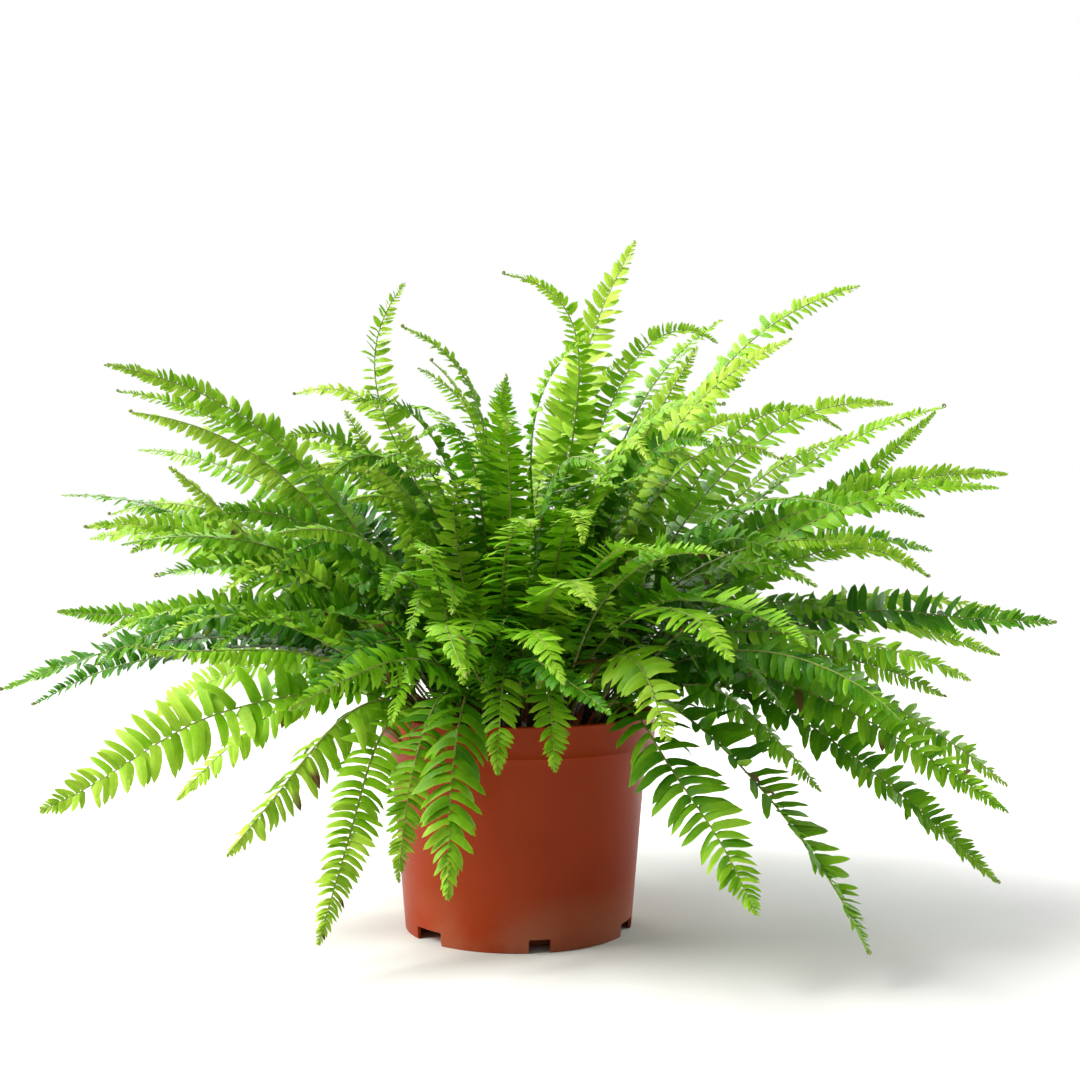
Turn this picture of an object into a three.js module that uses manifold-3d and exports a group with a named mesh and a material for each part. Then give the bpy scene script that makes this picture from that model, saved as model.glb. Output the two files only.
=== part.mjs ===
// A potted sword fern: a plain plastic nursery pot, the soil in it, and about a hundred
// and seventy arching fronds that rise from crowns in the soil.
// Millimetres, +Z up. The origin is on the pot's axis, on the surface that the pot stands on.
// The photograph looks along +Y, with +X to its right.
import * as THREE from "three";
import { mergeVertices } from "three/addons/utils/BufferGeometryUtils.js";
import Module from "manifold-3d";

// Pot
const potSides = 36;
const potHeight = 188;
const rimRadius = 120;
const bandHeight = 28;
const bodyTopRadius = 112;
const footRadius = 98.5;
const wall = 2.4;
const lip = 1.2;
const discRadius = 77;
const channelHeight = 12;
const channelSlope = 3;
const notchCount = 6;
const notchWidths = [18.5, 32];
const notchHeight = 11.3;
const firstNotchAngle = -79;
const drainRadius = 5;
const drainSides = 6;

// Soil
const gap = 0.3;
const soilEdgeHeight = 157;
const soilDome = 15;
const soilRings = 2;

// Crowns, spread over the soil as seeds are in a sunflower's head
const crownCount = 56;
const crownSpread = 86;
const goldenAngle = 137.508;
const frondsPerCrown = 4;
const crownsTried = 24;
const holeRadius = 4.6;
const holeDepth = 14;
const holeSides = 5;
const forkRise = 4;
const sideStartHalfWidth = 0.8;

// Fronds
const stalkHalfWidth = 2;
const tipHalfWidth = 0.6;
const ridgeRise = 0.6;
const keelDrop = 0.5;
const bareShare = 0.2;
const bladeEnd = 0.985;
const risingShare = 0.42;
const fallingShare = 0.36;
const shortestRise = 120;
const shortestFall = 100;
const rollToLight = 35;
const fullRollShare = 0.6;

// Leaflets
const stretchLength = 76;
const fewestStretches = 4;
const mostStretches = 7;
const firstLeafletShare = 0.5;
const leafletGrowth = 2;
const taperStart = 2.6;
const taperPower = 0.8;
const rearTipAlong = 0.25;
const frontTipAlong = 0.75;
const forwardLean = 12;
const rearLift = 9;
const frontLift = 3;

// Clearances
const ribSamples = 48;
const ribGap = 9;
const forkSamples = 8;
const leafletGap = 2.3;
const leafletToRib = 3.6;
const ownLeafletGap = 0.6;
const leastTurn = 0.06;
const floorGap = 6;
const potGap = 3;
const bowStep = 7;
const liftStep = 2.5;
const tiltStep = 15;
const lowestTilt = -30;
const lengthShares = [1, 0.8, 0.6, 0.42];
const edgeSamples = [0, 0.33, 0.67];

// Fronds read off the photograph. Each row is the tip's place (x, y, z), how steeply the stalk
// rises and how steeply the tip falls in degrees, and the length of the longest leaflets. Where
// the tip turns off to one side, the way that it points comes next, in degrees from +X, and a
// frond that turns its face further round has that turn, in degrees, at the end of its row.
const keyFronds = [
  // left, from the top down
  [-350, -40, 485, 66, -8, 22],
  [-365, 60, 470, 64, -6, 21],
  [-310, -110, 440, 62, -4, 24],
  [-365, 130, 420, 60, 0, 22],
  [-270, -150, 395, 50, -35, 21],
  [-405, 20, 375, 58, 2, 22],
  [-360, -60, 347, 60, 10, 22],
  [-400, 90, 335, 55, 12, 22],
  [-275, -170, 310, 62, 16, 24],
  [-335, 160, 300, 58, 20, 22],
  [-415, 40, 271, 46, -4, 21],
  [-432, -60, 211, 56, 20, 22],
  [-420, -10, 193, 52, 28, 21],
  [-350, 120, 163, 54, 36, 22],
  [-372, -150, 126, 50, 22, 34],
  [-285, -60, 119, 56, 48, 22],
  [-218, -190, 100, 52, 38, 27],
  [-149, -190, 32, 56, 60, 21],
  [-378, 80, 358, 58, 20, 19],
  [-313, -100, 327, 58, 30, 19],
  [-373, 100, 255, 52, 5, 21],
  [-361, -20, 229, 54, 40, 21],
  [-302, -120, 252, 54, -10, 19],
  [-225, -200, 256, 60, 40, 22],
  [-144, -60, 445, 78, -60, 21, null, -50],
  [-200, 60, 421, 72, 0, 21],
  // top
  [-100, 20, 563, 86, -50, 22, 10],
  [-96, -60, 514, 82, -24, 19, 175, -40],
  [-12, -40, 561, 88, -8, 18, 178],
  [103, 20, 600, 84, -62, 26, null, 50],
  [185, 60, 535, 78, -30, 22],
  [294, -20, 554, 72, -14, 24],
  [223, -90, 500, 74, -20, 21],
  [212, 110, 485, 72, -6, 22],
  [178, 40, 511, 76, 30, 19],
  [154, -20, 502, 82, -60, 21, null, 50],
  // right, from the top down
  [340, 60, 458, 66, 6, 22],
  [356, -60, 447, 64, -12, 22],
  [436, 30, 394, 60, 2, 22],
  [393, -90, 379, 60, 6, 21],
  [391, 120, 323, 58, 20, 24],
  [449, -60, 267, 56, 6, 30],
  [442, 80, 228, 54, 22, 22],
  [411, -60, 130, 60, 42, 27],
  [389, -130, 122, 56, 36, 24],
  [390, -100, 59, 57, 44, 22],
  [264, -200, 29, 66, 68, 27],
  [177, -230, 65, 58, 50, 30],
  [276, 60, 105, 56, 50, 22],
  [314, 100, 147, 54, 44, 22],
  [379, 60, 452, 60, -45, 18],
  [305, 120, 438, 66, 35, 19],
  [372, -20, 392, 60, -10, 21],
  [381, 100, 300, 58, 35, 21],
  [426, -10, 273, 54, 12, 21],
  [355, -150, 228, 56, 25, 24],
  [372, 0, 199, 54, 30, 21],
  [288, -200, 204, 58, 40, 22],
  [289, 20, 426, 66, -15, 19],
  // front
  [-14, -170, 158, 70, 84, 22],
  [30, -168, 160, 68, 82, 21],
  [-51, -190, 67, 64, 84, 29],
  [-92, -150, 72, 62, 82, 19],
  [55, -330, 294, 70, 22, 24],
  [49, -250, 336, 76, 50, 19],
  [148, -320, 258, 66, 34, 26],
  [112, -230, 192, 64, 56, 29],
  [204, -280, 265, 64, 34, 26],
  [206, -180, 205, 60, 46, 22],
  [-157, -220, 213, 62, 50, 22],
  [-93, -200, 200, 62, 62, 22],
  [35, -300, 241, 64, 40, 22],
  [-36, -270, 238, 66, 46, 24],
];

// The other fronds stand in arcs, from the heart outwards. Each arc has its number of fronds, the
// angles that it runs between, and the sizes above, with the tip's reach from the pot's axis.
const arcs = [
  { count: 6, from: 0, to: 360, reach: 90, height: 490, lift: 84, fall: -30, leaflet: 22 },
  { count: 8, from: 20, to: 380, reach: 190, height: 460, lift: 78, fall: 10, leaflet: 24 },
  { count: 9, from: -165, to: -15, reach: 215, height: 400, lift: 76, fall: 40, leaflet: 24 },
  { count: 9, from: 28, to: 152, reach: 300, height: 430, lift: 68, fall: 6, leaflet: 24 },
  { count: 9, from: 32, to: 148, reach: 380, height: 310, lift: 60, fall: 20, leaflet: 24 },
  { count: 9, from: 34, to: 146, reach: 350, height: 150, lift: 56, fall: 42, leaflet: 26 },
  { count: 10, from: -170, to: -10, reach: 260, height: 300, lift: 64, fall: 40, leaflet: 24 },
  { count: 8, from: -165, to: -15, reach: 190, height: 240, lift: 70, fall: 62, leaflet: 22 },
  { count: 10, from: -175, to: -5, reach: 170, height: 380, lift: 76, fall: 20, leaflet: 22 },
  { count: 11, from: -180, to: 0, reach: 310, height: 350, lift: 64, fall: 15, leaflet: 23 },
  { count: 8, from: -180, to: 0, reach: 320, height: 240, lift: 58, fall: 30, leaflet: 24 },
  { count: 6, from: 10, to: 170, reach: 240, height: 370, lift: 72, fall: 25, leaflet: 23 },
];
const reachSpread = 0.12;
const heightSpread = 25;
const liftSpread = 3;
const fallSpread = 8;
const bowSpread = 14;
const rollSpread = 22;

const rad = THREE.MathUtils.degToRad;

// Numbers from 0 to 1 that are the same on every run
let seed = 7;
function draw() {
  seed = (seed * 1664525 + 1013904223) % 4294967296;
  return seed / 4294967296;
}
function spread(size) {
  return (2 * draw() - 1) * size;
}

const wasm = await Module();
wasm.setup();

function solidFrom(positions, indices) {
  const vertProperties = new Float32Array(positions);
  const triVerts = new Uint32Array(indices);
  return new wasm.Manifold(new wasm.Mesh({ numProp: 3, vertProperties, triVerts }));
}

function solidOf(geometry) {
  const bare = geometry.clone();
  bare.deleteAttribute("normal");
  bare.deleteAttribute("uv");
  const merged = mergeVertices(bare, 1e-4);
  return solidFrom(merged.attributes.position.array, merged.index.array);
}

function geometryOf(solid) {
  const mesh = solid.getMesh();
  const geometry = new THREE.BufferGeometry();
  geometry.setAttribute("position", new THREE.BufferAttribute(mesh.vertProperties, 3));
  geometry.setIndex(new THREE.BufferAttribute(mesh.triVerts, 1));
  geometry.computeVertexNormals();
  return geometry;
}

// A profile of [radius, height] points turned about the Z axis
function turned(profile) {
  const points = profile.map(([r, z]) => new THREE.Vector2(r, z));
  return new THREE.LatheGeometry(points, potSides).rotateX(Math.PI / 2);
}

// The pot's wall leans out evenly from the foot to the rim band
const bodyTopHeight = potHeight - bandHeight;
const bodyRadius = (z) => footRadius + ((bodyTopRadius - footRadius) * z) / bodyTopHeight;

function potSolid() {
  const floorTop = channelHeight + wall;
  const ledge = 1.5;
  const outside = [
    [0, 0],
    [discRadius, 0],
    [discRadius + channelSlope, channelHeight],
    [bodyRadius(channelHeight) - wall, channelHeight],
    [footRadius - wall, 0],
    [footRadius - lip, 0],
    [bodyRadius(lip), lip],
    [bodyTopRadius, bodyTopHeight],
    [rimRadius - lip, bodyTopHeight + ledge],
    [rimRadius, potHeight - lip],
    [rimRadius - lip, potHeight],
  ];
  const inside = [
    [rimRadius - wall, potHeight - lip],
    [rimRadius - wall - lip, bodyTopHeight + ledge + wall],
    [bodyTopRadius - wall, bodyTopHeight + wall],
    [bodyRadius(floorTop) - wall, floorTop],
    [discRadius + channelSlope, floorTop],
    [discRadius, wall],
    [0, wall],
  ];
  const notches = notchWidths.map((width) =>
    new THREE.BoxGeometry(6 * wall, width, notchHeight * 2).translate(footRadius - wall, 0, 0),
  );
  const drain = new THREE.CylinderGeometry(drainRadius, drainRadius, 4 * wall, drainSides);
  drain.rotateX(Math.PI / 2).translate(discRadius + 2 * drainRadius, 0, channelHeight);
  let pot = solidOf(turned([...outside, ...inside]));
  for (let i = 0; i < notchCount; i++) {
    const turn = rad(firstNotchAngle + (360 / notchCount) * i);
    pot = pot.subtract(solidOf(notches[i % notches.length].clone().rotateZ(turn)));
    pot = pot.subtract(solidOf(drain.clone().rotateZ(turn + Math.PI / notchCount)));
  }
  return pot;
}

// The soil's top is a low dome
const soilRadius = bodyRadius(soilEdgeHeight) - wall - gap;
const soilTop = (r) => soilEdgeHeight + soilDome * (1 - (r / soilRadius) ** 2);

// Crowns, nearest the middle first. A crown's fork is where its fronds part.
const crowns = Array.from({ length: crownCount }, (_, i) => {
  const r = crownSpread * Math.sqrt((i + 0.5) / crownCount);
  const angle = rad(goldenAngle * i);
  const fork = new THREE.Vector3(r * Math.cos(angle), r * Math.sin(angle), soilTop(r) + forkRise);
  return { fork, fronds: [] };
});

function soilSolid(grownCrowns) {
  const floorTop = channelHeight + wall + gap;
  const profile = [
    [0, wall + gap],
    [discRadius - gap, wall + gap],
    [discRadius + channelSlope - gap, floorTop],
    [bodyRadius(floorTop) - wall - gap, floorTop],
  ];
  for (let ring = soilRings; ring >= 0; ring--) {
    const r = (soilRadius * ring) / soilRings;
    profile.push([r, soilTop(r)]);
  }
  const hole = new THREE.CylinderGeometry(holeRadius, holeRadius, 2 * holeDepth, holeSides);
  hole.rotateX(Math.PI / 2).translate(0, 0, -forkRise);
  let soil = solidOf(turned(profile));
  for (const { fork } of grownCrowns) {
    soil = soil.subtract(solidOf(hole.clone().translate(fork.x, fork.y, fork.z)));
  }
  return soil;
}

// Every frond of the plant, those read off the photograph first. Its home is the place that it
// wants in the soil, with the steepest nearest the middle. The bow swings its rib to one side and
// back, and the roll turns its blade's face towards the photograph's side.
function frondList() {
  const list = keyFronds.map(([x, y, z, lift, fall, leaflet, points, turn]) => ({
    tip: new THREE.Vector3(x, y, z),
    lift,
    fall,
    leaflet,
    points,
    turn,
    key: true,
  }));
  for (const { count, from, to, reach, height, lift, fall, leaflet } of arcs) {
    const step = (to - from) / count;
    for (let i = 0; i < count; i++) {
      const angle = rad(from + step * (i + 0.5) + spread(step / 3));
      const out = reach * (1 + spread(reachSpread));
      const z = height + spread(heightSpread);
      list.push({
        tip: new THREE.Vector3(out * Math.cos(angle), out * Math.sin(angle), z),
        lift: lift + spread(liftSpread),
        fall: fall + spread(fallSpread),
        leaflet,
      });
    }
  }
  for (const frond of list) {
    frond.bow = spread(bowSpread);
    frond.roll = (frond.turn ?? 0) + spread(rollSpread);
  }
  list.sort((a, b) => b.lift - a.lift);
  list.forEach((frond, rank) => {
    const { x, y } = frond.tip;
    frond.home = new THREE.Vector2(x, y).setLength(
      crownSpread * Math.sqrt((rank + 0.5) / list.length),
    );
  });
  return [...list.filter(({ key }) => key), ...list.filter(({ key }) => !key)];
}

function direction(heading, elevation) {
  const level = Math.cos(elevation);
  return new THREE.Vector3(
    level * Math.cos(heading),
    level * Math.sin(heading),
    Math.sin(elevation),
  );
}

// The rib leaves its fork at the lift angle and reaches its tip at the fall angle
function ribCurve(fork, frond, lift, bow) {
  const chord = frond.tip.clone().sub(fork);
  const heading = Math.atan2(chord.y, chord.x);
  const span = chord.length();
  const ending = Number.isFinite(frond.points) ? rad(frond.points) : heading + rad(bow);
  const launch = direction(heading - rad(bow), rad(lift));
  const arrival = direction(ending, -rad(frond.fall));
  return new THREE.CubicBezierCurve3(
    fork,
    launch.multiplyScalar(Math.max(risingShare * span, shortestRise)).add(fork),
    arrival.multiplyScalar(-Math.max(fallingShare * span, shortestFall)).add(frond.tip),
    frond.tip,
  );
}

// Whether a point is in the pot's wall or the soil, or too near them or the floor
function meetsPotOrFloor(point) {
  const r = Math.hypot(point.x, point.y);
  if (r > rimRadius + potGap) return point.z < floorGap;
  const withinWall = r < bodyTopRadius - wall - potGap;
  return point.z < (withinWall ? soilTop(r) + 1 : potHeight + potGap);
}

function ribClear(samples, crown) {
  if (samples.slice(2).some(meetsPotOrFloor)) return false;
  for (const other of crowns) {
    const first = other === crown ? forkSamples : 0;
    for (const frond of other.fronds) {
      for (let i = first; i < samples.length; i++) {
        for (let j = first; j < samples.length; j++) {
          if (samples[i].distanceToSquared(frond.samples[j]) < ribGap ** 2) return false;
        }
      }
    }
  }
  return true;
}

// Steps away from nothing: 0, 1, -1, 2, -2 and so on
function stepsOut(count) {
  return Array.from({ length: 2 * count + 1 }, (_, i) => Math.ceil(i / 2) * (i % 2 ? 1 : -1));
}
const bowSteps = stepsOut(4).map((step) => bowStep * step);
const liftSteps = stepsOut(5).map((step) => liftStep * step);

// The frond's rib from a crown, with its bow and lift changed a little where it would touch another
function clearRib(frond, crown) {
  for (const swing of bowSteps) {
    for (const rise of liftSteps) {
      const curve = ribCurve(crown.fork, frond, frond.lift + rise, frond.bow + swing);
      const samples = curve.getPoints(ribSamples);
      if (ribClear(samples, crown)) return { curve, samples };
    }
  }
  return null;
}

// A frond takes the nearest crown that has room for it and a clear way up
function planted(frond) {
  const distance = ({ fork }) => Math.hypot(fork.x - frond.home.x, fork.y - frond.home.y);
  const free = crowns.filter(({ fronds }) => fronds.length < frondsPerCrown);
  free.sort((a, b) => distance(a) - distance(b));
  for (const crown of free.slice(0, crownsTried)) {
    const rib = clearRib(frond, crown);
    if (!rib) continue;
    crown.fronds.push({ ...frond, ...rib });
    return true;
  }
  return false;
}

// A frond of the arcs that finds no clear way is left out
function plantFronds() {
  for (const frond of frondList()) {
    if (planted(frond) || !frond.key) continue;
    throw new Error(`no clear way for the frond to ${frond.tip.toArray()}`);
  }
  return crowns.flatMap(({ fronds }) => fronds);
}

// Stations along a rib, each with its place, its frame (along, side, up) and its half width.
// Beyond a bare stalk, each stretch between two stations has two leaflets on either side.
function setStations(frond) {
  const { curve, roll, tip } = frond;
  const heading = Math.atan2(tip.y - curve.v0.y, tip.x - curve.v0.x);
  const level = direction(heading + Math.PI / 2, 0);
  const fullRoll = rollToLight * Math.cos(heading) + roll;
  const station = (share) => {
    const along = curve.getTangentAt(share);
    const side = level.clone().addScaledVector(along, -level.dot(along)).normalize();
    side.applyAxisAngle(along, rad(fullRoll * Math.min(1, share / fullRollShare)));
    const up = new THREE.Vector3().crossVectors(along, side);
    const halfWidth = THREE.MathUtils.lerp(stalkHalfWidth, tipHalfWidth, Math.sqrt(share));
    return { at: curve.getPointAt(share), along, side, up, halfWidth };
  };
  const wanted = Math.round(((1 - bareShare) * curve.getLength()) / stretchLength);
  frond.stretches = THREE.MathUtils.clamp(wanted, fewestStretches, mostStretches);
  frond.stalk = [0, bareShare / 2].map(station);
  frond.blade = Array.from({ length: frond.stretches + 1 }, (_, i) =>
    station(THREE.MathUtils.lerp(bareShare, bladeEnd, i / frond.stretches)),
  );
  frond.leaflets = frond.blade.map(() => ({ 1: [], [-1]: [] }));
}

// How long the leaflets are along the blade, as a share of the longest: they grow at first, and
// taper off towards the tip
function leafletShare(u) {
  return Math.min(1, firstLeafletShare + leafletGrowth * u) * (1 - u ** taperStart) ** taperPower;
}

// A leaflet's tip, from the stretch of rib that carries it
function leafletTip(from, to, tipAlong, side, length, tilt) {
  const out = from.side.clone().multiplyScalar(side * Math.cos(rad(forwardLean)));
  out.addScaledVector(from.along, Math.sin(rad(forwardLean)));
  out.multiplyScalar(Math.cos(rad(tilt))).addScaledVector(from.up, Math.sin(rad(tilt)));
  return from.at.clone().lerp(to.at, tipAlong).addScaledVector(out, length);
}

// What may stand in a leaflet's way, in a grid of cells: stretches of rib, and leaflets as the
// flat triangles of their corners. An item's span is its place along its frond.
const cell = 40;
const grid = new Map();

function itemOf(frond, span, corners) {
  const isRib = corners.length === 2;
  const edges = isRib
    ? [new THREE.Line3(...corners)]
    : corners.map((corner, i) => new THREE.Line3(corner, corners[(i + 1) % 3]));
  const face = isRib ? null : new THREE.Triangle(...corners);
  return { frond, span, corners, edges, face, box: new THREE.Box3().setFromPoints(corners) };
}

function cellsOf(box) {
  const cells = [];
  const low = box.min.clone().divideScalar(cell).floor();
  const high = box.max.clone().divideScalar(cell).floor();
  for (let x = low.x; x <= high.x; x++) {
    for (let y = low.y; y <= high.y; y++) {
      for (let z = low.z; z <= high.z; z++) {
        const key = `${x},${y},${z}`;
        if (!grid.has(key)) grid.set(key, []);
        cells.push(grid.get(key));
      }
    }
  }
  return cells;
}

function remember(item) {
  for (const items of cellsOf(item.box.clone().expandByScalar(leafletToRib))) items.push(item);
}

const ray = new THREE.Ray();
const found = new THREE.Vector3();

// Whether an item has a corner within the limit of a face, or an edge that passes through it
function meetsFace({ corners, edges }, face, limit) {
  const cornerNear = (corner) =>
    face.closestPointToPoint(corner, found).distanceTo(corner) < limit;
  const edgeCrosses = ({ start, end }) => {
    ray.origin.copy(start);
    ray.direction.subVectors(end, start).normalize();
    const hit = ray.intersectTriangle(face.a, face.b, face.c, false, found);
    return hit !== null && hit.distanceTo(start) < start.distanceTo(end);
  };
  return corners.some(cornerNear) || edges.some(edgeCrosses);
}

// Neighbours on one frond share a station, and grow in order instead
function tooNear(leaflet, other) {
  const own = other.frond === leaflet.frond;
  if (own && Math.abs(other.span - leaflet.span) < 2) return false;
  const limit = own ? ownLeafletGap : other.face ? leafletGap : leafletToRib;
  if (!leaflet.box.clone().expandByScalar(limit).intersectsBox(other.box)) return false;
  const edgesNear = leaflet.edges.some((a) =>
    other.edges.some((b) => a.distanceSqToLine3(b) < limit ** 2),
  );
  if (edgesNear || meetsFace(other, leaflet.face, limit)) return true;
  return other.face !== null && meetsFace(leaflet, other.face, limit);
}

function leafletClear(leaflet) {
  for (const { start, end } of leaflet.edges) {
    for (const share of edgeSamples) {
      if (meetsPotOrFloor(start.clone().lerp(end, share))) return false;
    }
  }
  return !cellsOf(leaflet.box).some((items) => items.some((other) => tooNear(leaflet, other)));
}

// How far a point lies forward of a station
const turnOf = (point, { at, along }) => point.clone().sub(at).normalize().dot(along);

// A leaflet is tilted, and then shortened, until it clears the other fronds and stands forward of
// the earlier ones. One that finds no room is left off. The rear leaflet of a stretch stands on
// the upper half of the rib's flank and the front one on the lower half, so the front one never
// tilts higher.
const tilts = stepsOut(3).map((step) => tiltStep * step).filter((angle) => angle >= lowestTilt);

function growLeaflet(frond, stretch, tipAlong, side, highestTilt, earlier) {
  const [from, to] = [frond.blade[stretch], frond.blade[stretch + 1]];
  const length = frond.leaflet * leafletShare((stretch + tipAlong) / frond.stretches);
  const lift = tipAlong === rearTipAlong ? rearLift : frontLift;
  const rearmost = Math.max(...earlier.map((leaflet) => turnOf(leaflet.tip, from))) + leastTurn;
  for (const share of lengthShares) {
    for (const tilt of tilts.filter((angle) => angle <= highestTilt)) {
      const tip = leafletTip(from, to, tipAlong, side, length * share, lift + tilt);
      const leaflet = itemOf(frond, frond.stalk.length + stretch, [from.at, to.at, tip]);
      if (turnOf(tip, from) > rearmost && leafletClear(leaflet)) {
        remember(leaflet);
        return { tip, tilt };
      }
    }
  }
  return null;
}

// All the ribs are in place before the first leaflet, and the fronds take turns
function growLeaflets(fronds) {
  for (const frond of fronds) {
    setStations(frond);
    const places = [...frond.stalk, ...frond.blade].map(({ at }) => at);
    places.push(frond.tip);
    places.slice(1).forEach((place, i) => remember(itemOf(frond, i, [places[i], place])));
  }
  for (let stretch = 0; stretch < mostStretches; stretch++) {
    for (const frond of fronds.filter(({ stretches }) => stretch < stretches)) {
      for (const side of [1, -1]) {
        const earlier = (frond.leaflets[stretch - 1]?.[side] ?? []).filter(Boolean);
        const rear = growLeaflet(frond, stretch, rearTipAlong, side, Infinity, earlier);
        const highest = rear ? rear.tilt : Infinity;
        const front = growLeaflet(frond, stretch, frontTipAlong, side, highest, earlier);
        frond.leaflets[stretch][side] = [rear, front];
      }
    }
  }
}

// A frond as one closed mesh. Its rib has three sides, and each leaflet is a thin wedge on one of
// the triangles that these are split into.
function frondSolid(frond, root) {
  const stations = [root, ...frond.stalk, ...frond.blade];
  const places = [];
  const faces = [[0, 1, 2]];
  for (const { at, side, up, halfWidth } of stations) {
    const low = at.clone().addScaledVector(up, -keelDrop * halfWidth);
    places.push(at.clone().addScaledVector(up, ridgeRise * halfWidth));
    places.push(low.clone().addScaledVector(side, halfWidth));
    places.push(low.clone().addScaledVector(side, -halfWidth));
  }
  const panel = (a, b, c, leaflet) => {
    if (leaflet) {
      const p = places.push(leaflet.tip) - 1;
      faces.push([a, b, p], [b, c, p], [c, a, p]);
    } else {
      faces.push([a, b, c]);
    }
  };
  const bareStretches = stations.length - frond.blade.length;
  for (let i = 0; i < stations.length - 1; i++) {
    const [top, left, right] = [3 * i, 3 * i + 1, 3 * i + 2];
    const [nextTop, nextLeft, nextRight] = [top + 3, left + 3, right + 3];
    const leaflets = frond.leaflets[i - bareStretches] ?? { 1: [], [-1]: [] };
    panel(top, nextTop, left, leaflets[1][0]);
    panel(nextTop, nextLeft, left, leaflets[1][1]);
    panel(nextTop, top, right, leaflets[-1][0]);
    panel(nextTop, right, nextRight, leaflets[-1][1]);
    panel(left, nextLeft, nextRight);
    panel(left, nextRight, right);
  }
  const last = 3 * (stations.length - 1);
  const end = places.push(frond.tip) - 1;
  faces.push([last, end, last + 1], [end, last, last + 2], [last + 1, end, last + 2]);
  return solidFrom(
    places.flatMap((place) => place.toArray()),
    faces.flat(),
  );
}

// A crown's first frond is rooted down its hole in the soil, and the others start thin, inside
// the first one's stalk
function crownSolid({ fronds: [first, ...others] }) {
  const fork = first.stalk[0];
  const straightUp = new THREE.Vector3(0, 0, 1);
  const root = {
    at: fork.at.clone().addScaledVector(straightUp, 2 * gap - forkRise - holeDepth),
    side: fork.side,
    up: new THREE.Vector3().crossVectors(straightUp, fork.side).normalize(),
    halfWidth: stalkHalfWidth,
  };
  const branches = others.map((frond) => {
    const [start, ...stalk] = frond.stalk;
    return frondSolid({ ...frond, stalk }, { ...start, halfWidth: sideStartHalfWidth });
  });
  return branches.reduce((whole, branch) => whole.add(branch), frondSolid(first, root));
}

growLeaflets(plantFronds());
const grownCrowns = crowns.filter(({ fronds }) => fronds.length > 0);

const group = new THREE.Group();
function addNode(name, solid, color, roughness) {
  const material = new THREE.MeshStandardMaterial({ color, roughness, metalness: 0 });
  const mesh = new THREE.Mesh(geometryOf(solid), material);
  mesh.name = name;
  group.add(mesh);
}
addNode("pot", potSolid(), 0x9c4526, 0.45);
addNode("soil", soilSolid(grownCrowns), 0x2b1d14, 0.95);
grownCrowns.forEach((crown, i) => {
  addNode(`fronds_${String(i + 1).padStart(2, "0")}`, crownSolid(crown), 0x4f8f24, 0.5);
});

export default group;
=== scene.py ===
"""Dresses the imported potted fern: fine fronds, detailed pot and soil, materials, light and camera.

The plant is grown by the same rule and from the same numbers as the part's solids, so every fine
frond follows the rib of the solid frond that it replaces. The rule works in millimetres.
"""
import math

import bmesh
import bpy
import numpy as np
from mathutils import Matrix, Vector, noise


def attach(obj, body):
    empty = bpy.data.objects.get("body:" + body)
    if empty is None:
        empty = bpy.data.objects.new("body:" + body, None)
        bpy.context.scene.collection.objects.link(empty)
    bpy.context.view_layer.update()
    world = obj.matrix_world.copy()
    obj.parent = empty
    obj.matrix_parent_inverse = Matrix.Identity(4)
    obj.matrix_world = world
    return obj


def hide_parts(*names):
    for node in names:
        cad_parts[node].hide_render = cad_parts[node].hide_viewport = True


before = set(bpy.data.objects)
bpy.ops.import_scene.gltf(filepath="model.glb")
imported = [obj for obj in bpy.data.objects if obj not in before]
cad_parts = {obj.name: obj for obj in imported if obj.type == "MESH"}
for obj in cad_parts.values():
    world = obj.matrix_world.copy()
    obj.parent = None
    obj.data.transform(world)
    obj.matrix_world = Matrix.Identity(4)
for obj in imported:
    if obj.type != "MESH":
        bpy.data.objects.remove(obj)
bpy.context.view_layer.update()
scene = bpy.context.scene
MM = 0.001

# Camera, at the photograph's place
IMAGE_SIZE = 1080
FOCAL_PIXELS = 1583
SENSOR_WIDTH = 36
CAMERA_PLACE = (0.0188, -1.382, 0.355)
CAMERA_DIP = 0.8
camera_data = bpy.data.cameras.new("camera")
camera_data.sensor_width = SENSOR_WIDTH
camera_data.lens = SENSOR_WIDTH * FOCAL_PIXELS / IMAGE_SIZE
camera = bpy.data.objects.new("camera", camera_data)
camera.location = CAMERA_PLACE
camera.rotation_euler = (math.radians(90 - CAMERA_DIP), 0, 0)
scene.collection.objects.link(camera)
scene.camera = camera

# Pot, in millimetres
POT_HEIGHT = 188
RIM_RADIUS = 120
BAND_HEIGHT = 28
BODY_TOP_RADIUS = 112
FOOT_RADIUS = 98.5
WALL = 2.4
DISC_RADIUS = 77
CHANNEL_HEIGHT = 12
CHANNEL_SLOPE = 3
NOTCH_COUNT = 6
NOTCH_WIDTHS = (18.5, 32)
NOTCH_HEIGHT = 11.3
FIRST_NOTCH_ANGLE = -79
DRAIN_RADIUS = 5
BODY_TOP_HEIGHT = POT_HEIGHT - BAND_HEIGHT

# Soil
GAP = 0.3
SOIL_EDGE_HEIGHT = 157
SOIL_DOME = 15

# Crowns
CROWN_COUNT = 56
CROWN_SPREAD = 86
GOLDEN_ANGLE = 137.508
FRONDS_PER_CROWN = 4
CROWNS_TRIED = 24
FORK_RISE = 4

# Ribs
BARE_SHARE = 0.2
RISING_SHARE = 0.42
FALLING_SHARE = 0.36
SHORTEST_RISE = 120
SHORTEST_FALL = 100
ROLL_TO_LIGHT = 35
FULL_ROLL_SHARE = 0.6
RIB_SAMPLES = 48
RIB_GAP = 9
FORK_SAMPLES = 8
FLOOR_GAP = 6
POT_GAP = 3
BOW_STEP = 7
LIFT_STEP = 2.5

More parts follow.
